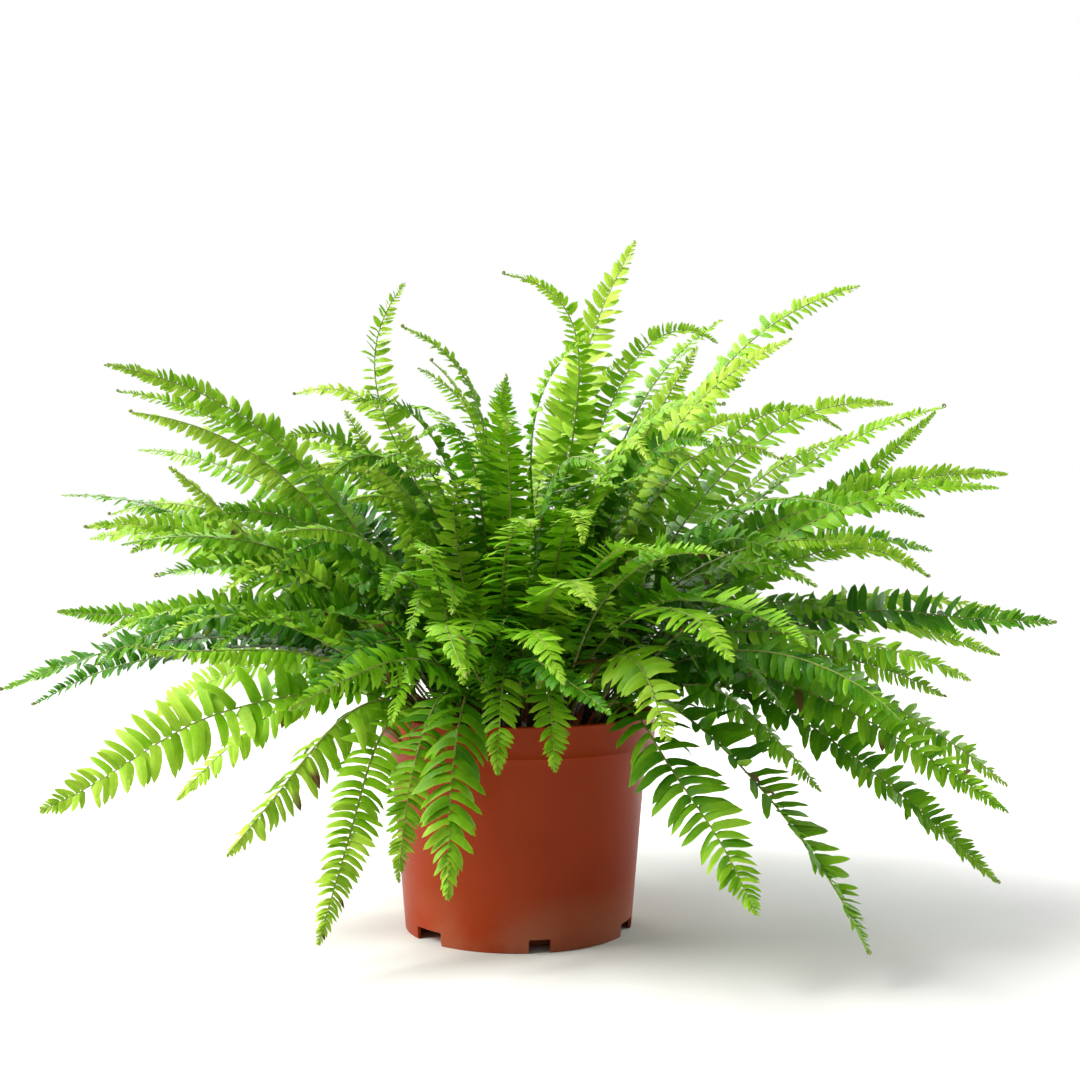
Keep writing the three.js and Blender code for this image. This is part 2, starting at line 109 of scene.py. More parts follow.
# Each row is the tip's place (x, y, z), how steeply the stalk rises and how steeply the tip falls
# in degrees, the length of the longest leaflets, the way the tip points where it turns off, and a
# further turn of the blade's face.
KEY_FRONDS = [
    # left, from the top down
    (-350, -40, 485, 66, -8, 22),
    (-365, 60, 470, 64, -6, 21),
    (-310, -110, 440, 62, -4, 24),
    (-365, 130, 420, 60, 0, 22),
    (-270, -150, 395, 50, -35, 21),
    (-405, 20, 375, 58, 2, 22),
    (-360, -60, 347, 60, 10, 22),
    (-400, 90, 335, 55, 12, 22),
    (-275, -170, 310, 62, 16, 24),
    (-335, 160, 300, 58, 20, 22),
    (-415, 40, 271, 46, -4, 21),
    (-432, -60, 211, 56, 20, 22),
    (-420, -10, 193, 52, 28, 21),
    (-350, 120, 163, 54, 36, 22),
    (-372, -150, 126, 50, 22, 34),
    (-285, -60, 119, 56, 48, 22),
    (-218, -190, 100, 52, 38, 27),
    (-149, -190, 32, 56, 60, 21),
    (-378, 80, 358, 58, 20, 19),
    (-313, -100, 327, 58, 30, 19),
    (-373, 100, 255, 52, 5, 21),
    (-361, -20, 229, 54, 40, 21),
    (-302, -120, 252, 54, -10, 19),
    (-225, -200, 256, 60, 40, 22),
    (-144, -60, 445, 78, -60, 21, None, -50),
    (-200, 60, 421, 72, 0, 21),
    # top
    (-100, 20, 563, 86, -50, 22, 10),
    (-96, -60, 514, 82, -24, 19, 175, -40),
    (-12, -40, 561, 88, -8, 18, 178),
    (103, 20, 600, 84, -62, 26, None, 50),
    (185, 60, 535, 78, -30, 22),
    (294, -20, 554, 72, -14, 24),
    (223, -90, 500, 74, -20, 21),
    (212, 110, 485, 72, -6, 22),
    (178, 40, 511, 76, 30, 19),
    (154, -20, 502, 82, -60, 21, None, 50),
    # right, from the top down
    (340, 60, 458, 66, 6, 22),
    (356, -60, 447, 64, -12, 22),
    (436, 30, 394, 60, 2, 22),
    (393, -90, 379, 60, 6, 21),
    (391, 120, 323, 58, 20, 24),
    (449, -60, 267, 56, 6, 30),
    (442, 80, 228, 54, 22, 22),
    (411, -60, 130, 60, 42, 27),
    (389, -130, 122, 56, 36, 24),
    (390, -100, 59, 57, 44, 22),
    (264, -200, 29, 66, 68, 27),
    (177, -230, 65, 58, 50, 30),
    (276, 60, 105, 56, 50, 22),
    (314, 100, 147, 54, 44, 22),
    (379, 60, 452, 60, -45, 18),
    (305, 120, 438, 66, 35, 19),
    (372, -20, 392, 60, -10, 21),
    (381, 100, 300, 58, 35, 21),
    (426, -10, 273, 54, 12, 21),
    (355, -150, 228, 56, 25, 24),
    (372, 0, 199, 54, 30, 21),
    (288, -200, 204, 58, 40, 22),
    (289, 20, 426, 66, -15, 19),
    # front
    (-14, -170, 158, 70, 84, 22),
    (30, -168, 160, 68, 82, 21),
    (-51, -190, 67, 64, 84, 29),
    (-92, -150, 72, 62, 82, 19),
    (55, -330, 294, 70, 22, 24),
    (49, -250, 336, 76, 50, 19),
    (148, -320, 258, 66, 34, 26),
    (112, -230, 192, 64, 56, 29),
    (204, -280, 265, 64, 34, 26),
    (206, -180, 205, 60, 46, 22),
    (-157, -220, 213, 62, 50, 22),
    (-93, -200, 200, 62, 62, 22),
    (35, -300, 241, 64, 40, 22),
    (-36, -270, 238, 66, 46, 24),
]
# Fronds that are lime green in the photograph, by their tips
LIME_TIPS = {
    (-350, -40, 485), (-310, -110, 440), (-302, -120, 252), (-144, -60, 445), (-200, 60, 421),
    (49, -250, 336), (55, -330, 294), (305, 120, 438), (294, -20, 554), (381, 100, 300),
}
LIME_FRESH = 0.62
# Fronds with tips below this height are painted lighter, and those on the left lightest: painted
# light, as from a light on the left
LOW_HEIGHT = 170
LEFT_EDGE = -100
LOW_LEFT_PAINTED_LIGHT = 0.74
LOW_RIGHT_PAINTED_LIGHT = 0.48
# Arcs of further fronds: how many, from and to which angle, reach, height, lift, fall, leaflet
ARCS = [
    (6, 0, 360, 90, 490, 84, -30, 22),
    (8, 20, 380, 190, 460, 78, 10, 24),
    (9, -165, -15, 215, 400, 76, 40, 24),
    (9, 28, 152, 300, 430, 68, 6, 24),
    (9, 32, 148, 380, 310, 60, 20, 24),
    (9, 34, 146, 350, 150, 56, 42, 26),
    (10, -170, -10, 260, 300, 64, 40, 24),
    (8, -165, -15, 190, 240, 70, 62, 22),
    (10, -175, -5, 170, 380, 76, 20, 22),
    (11, -180, 0, 310, 350, 64, 15, 23),
    (8, -180, 0, 320, 240, 58, 30, 24),
    (6, 10, 170, 240, 370, 72, 25, 23),
]
REACH_SPREAD = 0.12
HEIGHT_SPREAD = 25
LIFT_SPREAD = 3
FALL_SPREAD = 8
BOW_SPREAD = 14
ROLL_SPREAD = 22
# The outer ends of the fronds on both sides turn their faces further to the front
END_ROLL = 20

seed = 7


def draw():
    global seed
    seed = (seed * 1664525 + 1013904223) % 4294967296
    return seed / 4294967296


def spread(size):
    return (2 * draw() - 1) * size


def body_radius(z):
    return FOOT_RADIUS + (BODY_TOP_RADIUS - FOOT_RADIUS) * z / BODY_TOP_HEIGHT


SOIL_RADIUS = body_radius(SOIL_EDGE_HEIGHT) - WALL - GAP


def soil_top(r):
    return SOIL_EDGE_HEIGHT + SOIL_DOME * (1 - (r / SOIL_RADIUS) ** 2)


def direction(heading, elevation):
    level = math.cos(elevation)
    return np.array([level * math.cos(heading), level * math.sin(heading), math.sin(elevation)])


def unit(vectors):
    return vectors / np.linalg.norm(vectors, axis=-1, keepdims=True)


def frond_list():
    """Every frond of the plant, those read off the photograph first."""
    fronds = []
    for x, y, z, lift, fall, leaflet, *more in KEY_FRONDS:
        points = more[0] if more else None
        turn = more[1] if len(more) == 2 else 0
        fronds.append({"tip": np.array([x, y, z], float), "lift": lift, "fall": fall,
                       "leaflet": leaflet, "points": points, "turn": turn, "key": True})
    for count, first, last, reach, height, lift, fall, leaflet in ARCS:
        step = (last - first) / count
        for i in range(count):
            angle = math.radians(first + step * (i + 0.5) + spread(step / 3))
            out = reach * (1 + spread(REACH_SPREAD))
            z = height + spread(HEIGHT_SPREAD)
            fronds.append({
                "tip": np.array([out * math.cos(angle), out * math.sin(angle), z]),
                "lift": lift + spread(LIFT_SPREAD),
                "fall": fall + spread(FALL_SPREAD),
                "leaflet": leaflet, "points": None, "turn": 0, "key": False,
            })
    for frond in fronds:
        frond["bow"] = spread(BOW_SPREAD)
        frond["roll"] = frond["turn"] + spread(ROLL_SPREAD)
    fronds.sort(key=lambda frond: -frond["lift"])
    for rank, frond in enumerate(fronds):
        r = CROWN_SPREAD * math.sqrt((rank + 0.5) / len(fronds))
        frond["home"] = frond["tip"][:2] * r / math.hypot(*frond["tip"][:2])
    return [f for f in fronds if f["key"]] + [f for f in fronds if not f["key"]]


def rib_control(fork, frond, lift, bow):
    """The four control points of a rib's curve."""
    tip = frond["tip"]
    chord = tip - fork
    heading = math.atan2(chord[1], chord[0])
    span = np.linalg.norm(chord)
    points = frond["points"]
    ending = heading + math.radians(bow) if points is None else math.radians(points)
    launch = direction(heading - math.radians(bow), math.radians(lift))
    arrival = direction(ending, -math.radians(frond["fall"]))
    rise = max(RISING_SHARE * span, SHORTEST_RISE)
    drop = max(FALLING_SHARE * span, SHORTEST_FALL)
    return np.array([fork, fork + launch * rise, tip - arrival * drop, tip])


def on_curve(control, t):
    k = 1 - t
    weights = np.stack([k**3, 3 * k * k * t, 3 * k * t * t, t**3], axis=1)
    return weights @ control


def along_curve(control, t):
    k = 1 - t
    weights = np.stack([k * k, 2 * k * t, t * t], axis=1)
    return unit(weights @ np.diff(control, axis=0))


def rib_clear(samples, crown, crowns):
    r = np.hypot(samples[2:, 0], samples[2:, 1])
    within_wall = r < BODY_TOP_RADIUS - WALL - POT_GAP
    lowest = np.where(within_wall, soil_top(r) + 1, POT_HEIGHT + POT_GAP)
    lowest = np.where(r > RIM_RADIUS + POT_GAP, FLOOR_GAP, lowest)
    if (samples[2:, 2] < lowest).any():
        return False
    for other in crowns:
        first = FORK_SAMPLES if other is crown else 0
        for frond in other["fronds"]:
            apart = samples[first:, None] - frond["samples"][None, first:]
            if (np.einsum("ijk,ijk->ij", apart, apart) < RIB_GAP**2).any():
                return False
    return True


def steps_out(count):
    return [math.ceil(i / 2) * (1 if i % 2 else -1) for i in range(2 * count + 1)]


def plant_fronds():
    """The crowns, each with the fronds that found a clear way up from it."""
    crowns = []
    for i in range(CROWN_COUNT):
        r = CROWN_SPREAD * math.sqrt((i + 0.5) / CROWN_COUNT)
        angle = math.radians(GOLDEN_ANGLE * i)
        fork = np.array([r * math.cos(angle), r * math.sin(angle), soil_top(r) + FORK_RISE])
        crowns.append({"fork": fork, "fronds": []})
    grid = np.linspace(0, 1, RIB_SAMPLES + 1)
    ways = [(BOW_STEP * bow, LIFT_STEP * lift) for bow in steps_out(4) for lift in steps_out(5)]

    def clear_way(frond, crown):
        for bow, lift in ways:
            control = rib_control(crown["fork"], frond, frond["lift"] + lift, frond["bow"] + bow)
            samples = on_curve(control, grid)
            if rib_clear(samples, crown, crowns):
                return {**frond, "control": control, "samples": samples}
        return None

    for frond in frond_list():
        free = [crown for crown in crowns if len(crown["fronds"]) < FRONDS_PER_CROWN]
        free.sort(key=lambda crown: math.hypot(*(crown["fork"][:2] - frond["home"])))
        for crown in free[:CROWNS_TRIED]:
            grown = clear_way(frond, crown)
            if grown:
                crown["fronds"].append(grown)
                break
    return [crown for crown in crowns if crown["fronds"]]


def rib_frames(frond, shares):
    """Places and frames (along, side, up) at shares of a rib's length, with its slight waver."""
    control = frond["control"]
    t = np.linspace(0, 1, 401)
    points = on_curve(control, t)
    run = np.concatenate([[0], np.cumsum(np.linalg.norm(np.diff(points, axis=0), axis=1))])
    at_t = np.interp(shares, run / run[-1], t)
    along = along_curve(control, at_t)
    heading = math.atan2(*(frond["tip"] - control[0])[1::-1])
    level = direction(heading + math.pi / 2, 0)
    side = unit(level - along * (along @ level)[:, None])
    turn = ROLL_TO_LIGHT * math.cos(heading) + frond["roll"]
    turn = turn * np.minimum(1, shares / FULL_ROLL_SHARE) + frond["twist"] * shares**2
    turn = np.radians(turn)[:, None]
    side = side * np.cos(turn) + np.cross(along, side) * np.sin(turn)
    up = np.cross(along, side)
    at = on_curve(control, at_t)
    for axis, (size, waves, phase) in zip((side, up), frond["waver"]):
        swing = size * np.sin(2 * math.pi * (waves * shares + phase)) * 4 * shares * (1 - shares)
        at = at + axis * swing[:, None]
    return at, along, side, up, run[-1]


# Fine detail draws from its own numbers, so that it never changes the ribs
rng = np.random.default_rng(21)


class Sheet:
    """Collects the vertices, faces and point values of one mesh, in millimetres."""

    def __init__(self):
        self.places, self.faces, self.slots = [], [], []
        self.values = {"tone": [], "across": [], "run": [], "dry": []}
        self.count = 0

    def add(self, places, faces, slot, tone, across=0, run=0, dry=0):
        places = np.asarray(places, float).reshape(-1, 3)
        n = len(places)
        self.places.append(places)
        for name, value in (("tone", tone), ("across", across), ("run", run), ("dry", dry)):
            self.values[name].append(np.broadcast_to(np.asarray(value, float), (n,)))
        for face in faces:
            face = np.asarray(face) + self.count
            self.faces.append(face)
            self.slots.append(np.full(len(face), slot))
        self.count += n

    def build(self, name, materials, sharp_angle=50):
        places = np.concatenate(self.places) * MM
        corners = np.concatenate([face.ravel() for face in self.faces])
        sizes = np.concatenate([np.full(len(face), face.shape[1]) for face in self.faces])
        mesh = bpy.data.meshes.new(name)
        mesh.vertices.add(len(places))
        mesh.vertices.foreach_set("co", places.astype(np.float32).ravel())
        mesh.loops.add(len(corners))
        mesh.loops.foreach_set("vertex_index", corners.astype(np.int32))
        mesh.polygons.add(len(sizes))
        starts = np.concatenate([[0], np.cumsum(sizes)[:-1]])
        mesh.polygons.foreach_set("loop_start", starts.astype(np.int32))
        mesh.polygons.foreach_set("material_index", np.concatenate(self.slots).astype(np.int32))
        for key, values in self.values.items():
            values = np.concatenate(values).astype(np.float32)
            mesh.attributes.new(key, "FLOAT", "POINT").data.foreach_set("value", values)
        mesh.update(calc_edges=True)
        mesh.validate()
        mesh.shade_smooth()
        mesh.set_sharp_from_angle(angle=math.radians(sharp_angle))
        for material in materials:
            mesh.materials.append(material)
        piece = bpy.data.objects.new(name, mesh)
        scene.collection.objects.link(piece)
        return piece


def tube(sheet, places, side, up, radius, slot, tone, sides=6, run=0):
    """A closed tube round a line of places, with a flat cap at each end."""
    turn = np.linspace(0, 2 * math.pi, sides, endpoint=False)
    ring = (side[:, None] * np.cos(turn)[:, None] + up[:, None] * np.sin(turn)[:, None])
    skin = places[:, None] + ring * np.asarray(radius)[:, None, None]
    n = len(places)
    i = np.arange(n - 1)[:, None] * sides
    k = np.arange(sides)[None]
    after = (k + 1) % sides
    quads = np.stack([i + k, i + after, i + sides + after, i + sides + k], axis=2).reshape(-1, 4)
    start = np.arange(sides)[::-1][None]
    finish = (n - 1) * sides + np.arange(sides)[None]
    tone = np.repeat(np.broadcast_to(tone, (n,)), sides)
    run = np.repeat(np.broadcast_to(run, (n,)), sides)
    sheet.add(skin, [quads, start, finish], slot, tone, 0.5, run)


# A leaflet's outline by its number of segments: how far out each station is, and its half widths
# towards the frond's tip and towards its base, as shares of the largest half width. The ear beside
# the stalk is on the tip's side.
OUTLINES = {
    6: ([0, 0.07, 0.24, 0.45, 0.66, 0.85, 1],
        [0.55, 1.28, 1.04, 0.98, 0.86, 0.58, 0],
        [0.35, 0.86, 0.98, 1.00, 0.88, 0.58, 0]),
    4: ([0, 0.12, 0.42, 0.75, 1],
        [0.6, 1.2, 1.0, 0.74, 0],
        [0.4, 0.9, 1.0, 0.72, 0]),
    3: ([0, 0.25, 0.65, 1], [0.7, 1.05, 0.8, 0], [0.5, 0.9, 0.75, 0]),
}


# How far a leaflet's edges go up and down, as a share of its half width
EDGE_RIPPLE = 0.22


def leaflet_faces(segments):
    """Faces of one leaflet. Each station has its tip-side edge, top, base-side edge and keel."""
    quads = []
    for j in range(segments - 1):
        a, b = 4 * j, 4 * j + 4
        for k in range(4):
            m = (k + 1) % 4
            quads.append((a + k, b + k, b + m, a + m))
    last = 4 * (segments - 1)
    point = 4 * segments
    tris = [(last + k, point, last + (k + 1) % 4) for k in range(4)]
    return np.array(quads), np.array(tris), np.array([[0, 1, 2, 3]])


def leaflets(sheet, base, out, forward, normal, length, half, tone, hang, sickle, fold, dry):
    """Adds many leaflets at once. Each argument has one row for a leaflet."""
    kinds = np.where(length > 12, 6, np.where(length > 6, 4, 3))
    for segments, (v, tipward, baseward) in OUTLINES.items():
        pick = kinds == segments
        n = pick.sum()
        if n == 0:
            continue
        v = np.array(v)[None, :, None]
        o, f, nn = out[pick][:, None], forward[pick][:, None], normal[pick][:, None]
        long, wide = length[pick][:, None, None], half[pick][:, None, None]
        bend = hang[pick][:, None, None]
        bend = np.where(np.abs(bend) < 0.02, 0.02, bend)
        centre = base[pick][:, None] + long * (
            o * np.sin(bend * v) / bend
            - nn * (1 - np.cos(bend * v)) / bend
            + f * sickle[pick][:, None, None] * v**2
        )
        upward = nn * np.cos(bend * v) + o * np.sin(bend * v)
        spots = (n, segments + 1, 1)
        wide_a = wide * np.array(tipward)[None, :, None] * rng.uniform(0.93, 1.07, spots)
        wide_b = wide * np.array(baseward)[None, :, None] * rng.uniform(0.93, 1.07, spots)
        down = fold[pick][:, None, None]
        rise_a = EDGE_RIPPLE * rng.uniform(-1, 1, spots) - down
        rise_b = EDGE_RIPPLE * rng.uniform(-1, 1, spots) - down
        edge_a = centre + f * wide_a + upward * wide_a * rise_a
        edge_b = centre - f * wide_b + upward * wide_b * rise_b
        keel = centre - upward * (0.3 + 0.35 * (1 - v)) * np.minimum(1, long / 20)
        rows = np.stack([edge_a, centre, edge_b, keel], axis=2)[:, :-1]
        rows = rows.reshape(n, -1, 3)
        places = np.concatenate([rows, centre[:, -1:]], axis=1)
        size = places.shape[1]
        across = np.tile([1, 0, 1, 0], segments)
        across = np.tile(np.append(across, 0.6), n)
        share = np.append(np.repeat(v[0, :-1, 0], 4), 1)
        run = (share[None] * length[pick][:, None]).ravel()
        shade = tone[pick][:, None] + 0.10 * share[None] ** 2
        offsets = (np.arange(n) * size)[:, None, None]
        faces = []
        mirrored = np.einsum("ij,ij->i", np.cross(out[pick], forward[pick]), normal[pick]) < 0
        for block in leaflet_faces(segments):
            block = block[None] + offsets
            block = np.where(mirrored[:, None, None], block[:, :, ::-1], block)
            faces.append(block.reshape(-1, block.shape[2]))
        dried = np.clip(dry[pick][:, None] * 2 - 1 + share[None] ** 0.7, 0, 1)
        sheet.add(places, faces, 0, shade.ravel(), across, run, dried.ravel())


def leaflet_share(u):
    """How long the leaflets are along the blade, as a share of the longest."""
    return np.minimum(1, 0.5 + 2 * u) * (1 - u**2.6) ** 0.8


def rib_radius(shares):
    """How thick the rib is at shares of its length."""
    return 0.38 + 0.95 * (1 - shares) ** 0.8


COIL_PLACES = 14


def coil(frames, size, turns):
    """The curled end of a young frond, as places, sides, ups and radii that follow its rib."""
    at, along, side, up = (rows[-1] for rows in frames)
    turn = np.linspace(0.3, turns, COIL_PLACES)
    reach = size * (1 - 0.75 * turn / turns)
    places = at + up * size + along * (reach * np.sin(turn))[:, None]
    places = places - up * (reach * np.cos(turn))[:, None]
    places = places + side * np.linspace(0, 0.5, COIL_PLACES)[:, None]
    forward = along * np.cos(turn)[:, None] + up * np.sin(turn)[:, None]
    sides = np.repeat(side[None], COIL_PLACES, axis=0)
    return places, sides, np.cross(forward, side), np.linspace(0.6, 1.1, COIL_PLACES)


SCALES_PER_STALK = 10
# The part of a rib, from its base, that is brown
BROWN_SHARE = 0.16


def scales(sheet, places, along, side, up, radius):
    """Brown papery scales and hairs round a stalk's base."""
    for _ in range(SCALES_PER_STALK):
        share = rng.random() ** 1.4 * 0.13
        row = min(int(share * len(places) / BROWN_SHARE), len(places) - 2)
        turn = rng.uniform(0, 2 * math.pi)
        out = side[row] * math.cos(turn) + up[row] * math.sin(turn)
        length = rng.uniform(2.5, 6.5)
        aim = unit(out * rng.uniform(0.5, 1.1) + along[row] * rng.uniform(-0.3, 0.9))
        t = np.linspace(0, 1, 4)[:, None]
        line = places[row] + out * radius[row] * 0.7 + aim * length * t
        line = line + (out * rng.uniform(-0.5, 0.5) - [0, 0, 0.3]) * length * 0.4 * t**2
        flat = np.repeat(np.cross(aim, out)[None], 4, axis=0)
        raised = np.repeat(np.cross(aim, flat[0])[None], 4, axis=0)
        thick = np.array([0.42, 0.36, 0.24, 0.06])
        tube(sheet, line, flat, raised, thick, 1, 0.05 + 0.2 * rng.random(), 3)


RIB_STATIONS = 34
YOUNG_SHARE = 0.3
# The longest leaflets here, as a share of the solids' own: on the fronds of the photograph, by the
# height of their tips, and on those of the arcs
KEY_HEIGHTS = (60, 250, 450, 560)
KEY_SHARES = (1.28, 1.14, 1.04, 1.22)
ARC_SHARE = 0.92
# How much of a leaflet's length goes into the step to the next one and into its half width. Both
# are smaller on the fronds of the photograph with tips below FINE_HEIGHT.
SLOPES = (0.30, 0.145)
FINE_SLOPES = (0.235, 0.115)
FINE_HEIGHT = 300


def dress_frond(sheet, frond):
    """One fine frond: its rib, a curl at the tip of some young ones, and two rows of leaflets."""
    height = frond["tip"][2]
    young = rng.random() < YOUNG_SHARE
    heading = math.atan2(frond["tip"][1], frond["tip"][0])
    frond["twist"] = rng.normal(0, 16) + END_ROLL * math.cos(heading)
    frond["waver"] = [(rng.normal(0, 2.4), rng.uniform(0.9, 2.0), rng.random()),
                      (rng.normal(0, 1.6), rng.uniform(0.9, 2.0), rng.random())]
    stations = np.linspace(0, 1, RIB_STATIONS) ** 0.9
    at, along, side, up, rib_length = rib_frames(frond, stations)
    # How fresh a green the frond has: higher and younger ones are lighter, and low fronds are
    # painted lighter still as painted light
    slope = 0.50 if frond["key"] else 0.38
    fresh_and_painted_light = 0.16 + slope * (height - 60) / 500 + rng.normal(0, 0.12) + (0.22 if young else 0)
    if tuple(frond["tip"]) in LIME_TIPS:
        fresh_and_painted_light = max(fresh_and_painted_light, LIME_FRESH)
    # Painted light: low fronds are painted lighter, those on the left lightest, as if lit from the
    # left
    if frond["key"] and height < LOW_HEIGHT:
        on_left = frond["tip"][0] < LEFT_EDGE
        fresh_and_painted_light = max(fresh_and_painted_light, LOW_LEFT_PAINTED_LIGHT if on_left else LOW_RIGHT_PAINTED_LIGHT)
    fresh_and_painted_light = float(np.clip(fresh_and_painted_light, 0.0, 0.85))
    brown = np.clip(1 - stations / BROWN_SHARE, 0, 1)
    rib_tone = np.clip(0.32 + 0.35 * stations + 0.3 * fresh_and_painted_light, 0, 1) * (1 - brown)
    radius = rib_radius(stations)
    scales(sheet, at[:8], along[:8], side[:8], up[:8], radius[:8])
    places = np.concatenate([at[:1] - [0, 0, 10], at])
    run, sides, ups, radius, rib_tone = (
        np.concatenate([rows[:1], rows])
        for rows in (stations * rib_length, side, up, radius, rib_tone))
    if rng.random() < (0.75 if young else 0.3):
        turned = coil((at, along, side, up), rng.uniform(1.3, 2.1), rng.uniform(1.4, 2.2) * math.pi)
        places, sides, ups, radius = (
            np.concatenate(pair) for pair in zip((places, sides, ups, radius), turned))
        rib_tone = np.concatenate([rib_tone, np.linspace(0.8, 0.6, COIL_PLACES)])
        run = np.concatenate([run, np.full(COIL_PLACES, rib_length)])
    tube(sheet, places, sides, ups, radius, 1, rib_tone, run=run)

    # Places of the leaflets: as close as their width allows, and in turns on the two sides
    key_share = np.interp(height, KEY_HEIGHTS, KEY_SHARES)
    longest = frond["leaflet"] * (key_share if frond["key"] else ARC_SHARE)
    pitch_share = rng.uniform(0.92, 1.12)
    fine = frond["key"] and height < FINE_HEIGHT
    pitch_slope, half_slope = FINE_SLOPES if fine else SLOPES
    spots = []
    reach = BARE_SHARE * rib_length * rng.uniform(0.75, 1.0)
    blade = (1 - BARE_SHARE) * rib_length
    while reach < 0.997 * rib_length:
        u = max(0, (reach - BARE_SHARE * rib_length) / blade)
        size = longest * leaflet_share(np.array(u))
        spots.append((reach, u, size))
        reach += pitch_share * (pitch_slope * size + 1.05)
    reach, u, size = np.array(spots).T
    pitch = np.gradient(reach)
    habit = rng.normal(0.02, 0.24)
    hang_most = rng.uniform(0.25, 1.35)
    lean_most = rng.normal(0, 5)
    dying = rng.random() < 0.3 and height < 330
    for sign in (1, -1):
        keep = rng.random(len(reach)) > 0.012
        shift = pitch * (0.25 * sign + rng.normal(0, 0.09, len(reach)))
        shares = np.clip((reach + shift) / rib_length, 0, 0.999)[keep]
        uu = u[keep]
        n = len(uu)
        base, fore, across, above, _ = rib_frames(frond, shares)
        offset = rng.normal(0, 0.16)
        waves = rng.uniform(1, 3) * uu + rng.random()
        ruffle = offset + 0.16 * np.sin(2 * math.pi * waves)
        lean = np.radians(6 + lean_most + 12 * uu + 26 * uu**4 + rng.normal(0, 5, n))[:, None]
        rise = np.radians(9) + habit + 0.5 * ruffle[:, None] + rng.normal(0, 0.15, n)[:, None]
        out = sign * across * np.cos(lean) + fore * np.sin(lean)
        out = unit(out * np.cos(rise) + above * np.sin(rise))
        skyward = np.array([0, 0, 1.0]) - out * out[:, 2:3]
        steep = np.clip(np.abs(fore[:, 2:3]), 0, 1)
        normal = above - out * np.einsum("ij,ij->i", above, out)[:, None]
        normal = normal + skyward * (0.2 + 0.5 * steep)
        normal = normal + fore * (ruffle + rng.normal(0, 0.26, n))[:, None]
        normal = unit(normal - out * np.einsum("ij,ij->i", normal, out)[:, None])
        forward = np.cross(normal, out)
        forward = forward * np.sign(np.einsum("ij,ij->i", forward, fore))[:, None]
        length = longest * leaflet_share(uu) * rng.normal(1, 0.07, n) + 1.2
        half = (half_slope * length + 0.45) * rng.normal(1, 0.06, n)
        hang = hang_most * (0.6 + 0.4 * (1 - uu)) + rng.normal(0, 0.25, n)
        sickle = 0.10 + rng.normal(0, 0.05, n)
        fold = 0.22 + 0.4 * max(0, -habit) + rng.normal(0, 0.09, n)
        tone = fresh_and_painted_light - 0.16 + 0.38 * uu + rng.normal(0, 0.06, n)
        dry = np.where(rng.random(n) < (0.06 if dying else 0.004), rng.uniform(0.3, 1, n), 0)
        # Dry leaflets of the outer half are only half as dry
        dry = np.where(uu < 0.5, dry, dry * 0.5)
        base = base + above * 0.35 * rib_radius(shares[:, None]) + out * 0.3
        leaflets(sheet, base, out, forward, normal, length, half, tone, hang, sickle, fold, dry)


def colour(r, g, b):
    return (r, g, b, 1)


class Nodes:
    """A short way to build a material's node tree."""

    def __init__(self, name):
        self.material = bpy.data.materials.new(name)
        self.material.use_nodes = True
        self.tree = self.material.node_tree
        self.tree.nodes.clear()
        self.out = self.new("ShaderNodeOutputMaterial")

    def new(self, kind, **settings):
        node = self.tree.nodes.new(kind)
        for key, value in settings.items():
            setattr(node, key, value)
        return node

    def link(self, source, target):
        self.tree.links.new(source, target)

    def put(self, socket, value):
        if isinstance(value, bpy.types.NodeSocket):
            self.link(value, socket)
        else:
            socket.default_value = value

    def attribute(self, name):
        return self.new("ShaderNodeAttribute", attribute_name=name).outputs["Fac"]

    def place(self):
        return self.new("ShaderNodeTexCoord").outputs["Object"]

    def noise(self, scale, detail=3, roughness=0.55, place=None):
        node = self.new("ShaderNodeTexNoise")
        self.link(place or self.place(), node.inputs["Vector"])
        node.inputs["Scale"].default_value = scale
        node.inputs["Detail"].default_value = detail
        node.inputs["Roughness"].default_value = roughness
        return node.outputs["Fac"]

    def math(self, operation, a, b=0.0):
        node = self.new("ShaderNodeMath", operation=operation)
        self.put(node.inputs[0], a)
        self.put(node.inputs[1], b)
        return node.outputs[0]

    def span(self, value, low, high, to_low=0.0, to_high=1.0, smooth=False):
        node = self.new("ShaderNodeMapRange")
        if smooth:
            node.interpolation_type = "SMOOTHSTEP"
        self.put(node.inputs["Value"], value)
        node.inputs["From Min"].default_value = low
        node.inputs["From Max"].default_value = high
        node.inputs["To Min"].default_value = to_low
        node.inputs["To Max"].default_value = to_high
        return node.outputs["Result"]

    def ramp(self, value, stops):
        node = self.new("ShaderNodeValToRGB")
        elements = node.color_ramp.elements
        while len(elements) < len(stops):
            elements.new(0.5)
        for element, (place, tint) in zip(elements, stops):
            element.position = place
            element.color = colour(*tint)
        self.put(node.inputs["Fac"], value)
        return node.outputs["Color"]

    def mix(self, factor, a, b):
        node = self.new("ShaderNodeMix", data_type="RGBA")
        self.put(node.inputs["Factor"], factor)
        self.put(node.inputs["A"], colour(*a) if isinstance(a, tuple) else a)
        self.put(node.inputs["B"], colour(*b) if isinstance(b, tuple) else b)
        return node.outputs["Result"]

    def bump(self, height, strength, distance):
        node = self.new("ShaderNodeBump")
        node.inputs["Strength"].default_value = strength
        node.inputs["Distance"].default_value = distance
        self.put(node.inputs["Height"], height)
        return node.outputs["Normal"]

    def principled(self, **values):
        node = self.new("ShaderNodeBsdfPrincipled")
        for key, value in values.items():
            self.put(node.inputs[key.replace("_", " ")], value)
        return node.outputs["BSDF"]

    def finish(self, shader):
        self.link(shader, self.out.inputs["Surface"])
        return self.material


